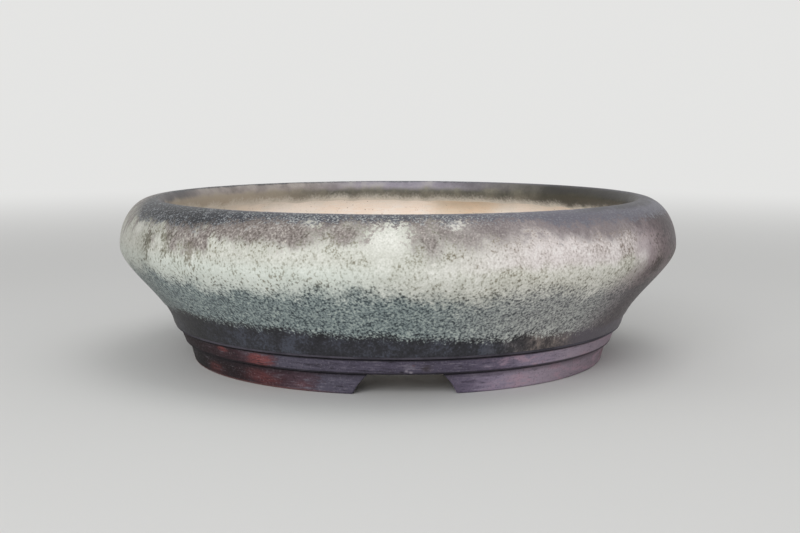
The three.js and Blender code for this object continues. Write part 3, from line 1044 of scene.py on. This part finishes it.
# Red patches in the wash: bearing in degrees, radius, height, width and tallness in mm, and strength
RED_PATCHES = (
    (-34.5, 111.5, 13.5, 10.5, 5.5, 1.0),
    (-47, 111.5, 15, 5, 2.4, 0.8),
    (-36, 106, 4.5, 15, 5, 0.35),
    (-55, 105.5, 3.5, 12, 4, 0.3),
    (-24, 105.5, 3, 7, 2.6, 0.2),
    (74, 106, 5, 10, 3, 0.4),
    (128, 110.5, 13, 14, 4, 0.7),
    (165, 106, 5, 16, 5, 0.5),
    (-140, 110, 14, 12, 4, 0.6),
    (-104, 106, 5, 20, 5, 0.7),
)

# Tones of the wash from left to right: X in metres, and the colour there
WASH_TONES = (
    (-0.1, "151011"), (-0.07, "2d1e22"), (-0.055, "422d33"), (-0.04, "524049"), (-0.034, "585462"),
    (0.01, "524c5c"), (0.03, "696073"), (0.045, "93879a"), (0.06, "a597a5"), (0.1, "8f7f89"),
)


def red_share(f, cloud, streak):
    """Where the wash is red: at each place, the strongest of the patches."""
    ragged = f.times(f.plus(cloud, streak), 0.14)
    strongest = 0.0
    for degrees, radius, height, width, tall, strength in RED_PATCHES:
        centre = place_at(math.radians(degrees), radius * MM, height * MM)
        spot = f.times(f.patch(centre, (width * MM, width * MM, tall * MM), ragged), strength)
        strongest = f.sum("MAXIMUM", strongest, spot)
    return f.times(strongest, f.span(streak, -1.6, 0.8, 0.4, 1))


def worn_wash(f, colour, worn, cloud, sand):
    """The wash with pale scuffs and dark smears along the turning, a blush to the right, and sand."""
    scuffs = f.times(f.span(worn, 0.3, 2.6, 0, 0.45), f.span(f.side, -0.06, -0.03, 0.4, 1))
    colour = f.blend(scuffs, colour, "b3acb8")
    smears = f.times(f.span(worn, -0.1, -2.4, 0, 0.8), f.span(f.side, 0.0, 0.05, 1, 0.5))
    colour = f.blend(smears, colour, "1f1b22")
    blush = f.times(f.span(cloud, 0.1, 1.4, 0, 0.6), f.span(f.side, 0.03, 0.06))
    colour = f.blend(blush, colour, "b192a0")
    colour = f.blend(f.span(sand, 0.9, 2.4, 0, 0.12), colour, "c5bcc2")
    return f.blend(f.span(sand, -0.8, -2.2, 0, 0.3), colour, "1c181c")


def seam_shaded(f, colour, band_share):
    """The wash darkened by painted shade in both seams, and by a painted shadow on the feet just under the
    band.
    """
    # painted shade along both seams
    for seam in (BAND_BASE, BAND_TOP):
        near = f.sum("ABSOLUTE", f.plus(f.height, -seam))
        colour = f.blend(f.span(near, 1.3 * MM, 0.5 * MM, 0, 0.85), colour, "151217")
    # painted shadow on the top of the feet, under the band's overhang
    shadow_under_band = f.span(f.height, FOOT_HEIGHT - 3.4 * MM, FOOT_HEIGHT - 0.8 * MM, 0, 0.4)
    shadow_under_band = f.times(shadow_under_band, f.span(band_share, 1, 0))
    return f.blend(shadow_under_band, colour, "2b262c")


def marked(f, colour, streak):
    """The wash with the band's small marks."""
    ragged = f.times(streak, 0.15)
    for degrees, height, width, strength, code in BAND_MARKS:
        size = (width * MM, 3 * MM, 0.7 * width * MM)
        spot = f.patch(on_band(degrees, height), size, ragged)
        colour = f.blend(f.times(spot, strength), colour, code)
    return colour


def wash_finish():
    """Unglazed clay under an oxide wash: red-brown on the left, purple-grey at the front, mauve on the
    right, scuffed along the turning, with painted shade darkest in the seams."""
    f = Finish("washed_clay")
    cloud = f.scatter(11 * MM, 4, 0.65, f.stretched(1, 1, 2.5))
    streak = f.scatter(10 * MM, 4, 0.75, f.stretched(1, 1, 10))
    sand = f.scatter(0.9 * MM, 2, 0.6)
    worn = f.weighed((0.75, streak), (0.5, cloud))
    band_share = f.span(f.height, BAND_BASE - 0.2 * MM, BAND_BASE + 0.2 * MM)
    lag = f.times(band_share, f.span(f.side, -0.03, 0.03, 0.018, -0.016))
    across = f.weighed((1, f.side), (0.002, cloud), (0.0015, streak), (1, lag))
    colour = f.tones(across, WASH_TONES)
    colour = f.blend(red_share(f, cloud, streak), colour, "8c4b49")
    colour = worn_wash(f, colour, worn, cloud, sand)
    colour = seam_shaded(f, colour, band_share)
    colour = marked(f, colour, streak)
    hem = f.times(f.span(f.height, 1.3 * MM, 0.4 * MM), f.span(across, -0.02, -0.05, 0, 0.6))
    colour = f.blend(hem, colour, "8b6360")
    rough = f.plus(f.times(worn, 0.04), 0.7)
    lines = f.bump(streak, 0.02 * MM, 0.6)
    return f.settle(colour, rough, f.bump(sand, 0.012 * MM, 0.6, lines), 0.25)


def dress(piece, nodes, finish):
    """Puts a piece in place of its CAD nodes, on the pot's one body."""
    piece.data.materials.clear()
    piece.data.materials.append(finish)
    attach(piece, "root")
    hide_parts(*nodes)


# Pale tones of the floor, and of what the camera and reflections see behind everything
FLOOR_TONE = (0.7, 0.7, 0.69, 1.0)
BACKDROP_TONE = (0.78, 0.78, 0.77, 1.0)
FLOOR_REACH = 30
FLOOR_FADE = (0.35, 1.4)  # distances from the pot between which the floor fades into the backdrop
WORLD_STRENGTH = 0.5

# Lamps: name, place, size and power
LAMPS = (
    ("key", (-0.4, -1.35, 0.7), (1.0, 0.7), 11),
    ("fill", (0.9, -1.1, 0.5), (0.8, 0.8), 0.5),
    ("top", (0.3, -0.15, 1.3), (0.9, 0.9), 3),
)
LAMP_AIM = (0, 0, 0.05)

# Camera at the photograph's viewpoint, in its frame of 800 by 533 pixels
FRAME_WIDTH = 800
FOCAL_PIXELS = 1258.4
POT_AXIS_PIXEL = 398
SENSOR_WIDTH = 36
CAMERA_PLACE = (0, -0.6448, 0.1246)
CAMERA_DOWNWARD = math.radians(7.13)


def make_world():
    world = bpy.data.worlds.new("soft_light")
    bpy.context.scene.world = world
    world.use_nodes = True
    w = Nodes(world.node_tree)
    lit = w.feed(w.nodes["Background"], {"Color": (1, 1, 1, 1), "Strength": WORLD_STRENGTH})
    seen = w.new("Background", {"Color": BACKDROP_TONE})
    surface = w.seen_or_lit(seen.outputs[0], lit.outputs[0])
    w.feed(w.nodes["World Output"], {"Surface": surface})


def make_floor():
    """A pale floor that holds the pot's shadow and fades into the background further out."""
    square = ((-1, -1), (1, -1), (1, 1), (-1, 1))
    mesh = bpy.data.meshes.new("floor")
    mesh.from_pydata([(x * FLOOR_REACH, y * FLOOR_REACH, 0) for x, y in square], [], [(0, 1, 2, 3)])
    f = Finish("floor")
    f.feed(f.shader, {"Base Color": FLOOR_TONE, "Roughness": 0.9, "Specular IOR Level": 0.2})
    near = f.shader.outputs[0]
    far = f.new("Emission", {"Color": BACKDROP_TONE}).outputs[0]
    faded = f.mixed(f.span(f.vector_sum("LENGTH", f.place), *FLOOR_FADE), near, far)
    f.feed(f.nodes["Material Output"], {"Surface": f.seen_or_lit(faded, near)})
    mesh.materials.append(f.material)
    floor = new_object("floor", mesh)


def make_lamp(name, place, size, power):
    data = bpy.data.lights.new(name, "AREA")
    data.shape = "RECTANGLE"
    data.size, data.size_y = size
    data.energy = power
    lamp = new_object(name, data)
    lamp.location = place
    lamp.rotation_euler = (Vector(LAMP_AIM) - Vector(place)).to_track_quat("-Z", "Y").to_euler()


def make_camera():
    data = bpy.data.cameras.new("camera")
    data.sensor_width = SENSOR_WIDTH
    data.lens = SENSOR_WIDTH * FOCAL_PIXELS / FRAME_WIDTH
    data.clip_start = 0.01
    data.clip_end = 100
    camera = new_object("camera", data)
    camera.location = CAMERA_PLACE
    sideways = math.atan((FRAME_WIDTH / 2 - POT_AXIS_PIXEL) / FOCAL_PIXELS)
    camera.rotation_euler = (math.pi / 2 - CAMERA_DOWNWARD, 0, -sideways)
    bpy.context.scene.camera = camera


def make_stage():
    make_world()
    for lamp in LAMPS:
        make_lamp(*lamp)
    make_floor()
    bpy.context.scene.view_settings.view_transform = "Standard"


def main():
    make_camera()
    make_stage()
    glaze, raw, wash = glaze_finish(), raw_finish(), wash_finish()
    dress(make_bowl(), ["bowl"], raw)
    dress(make_glaze(), ["glaze_coat"], glaze)
    dress(make_band(), ["foot_band"], wash)
    for index, node in enumerate(FOOT_NODES):
        dress(make_foot(index), [node], wash)


main()
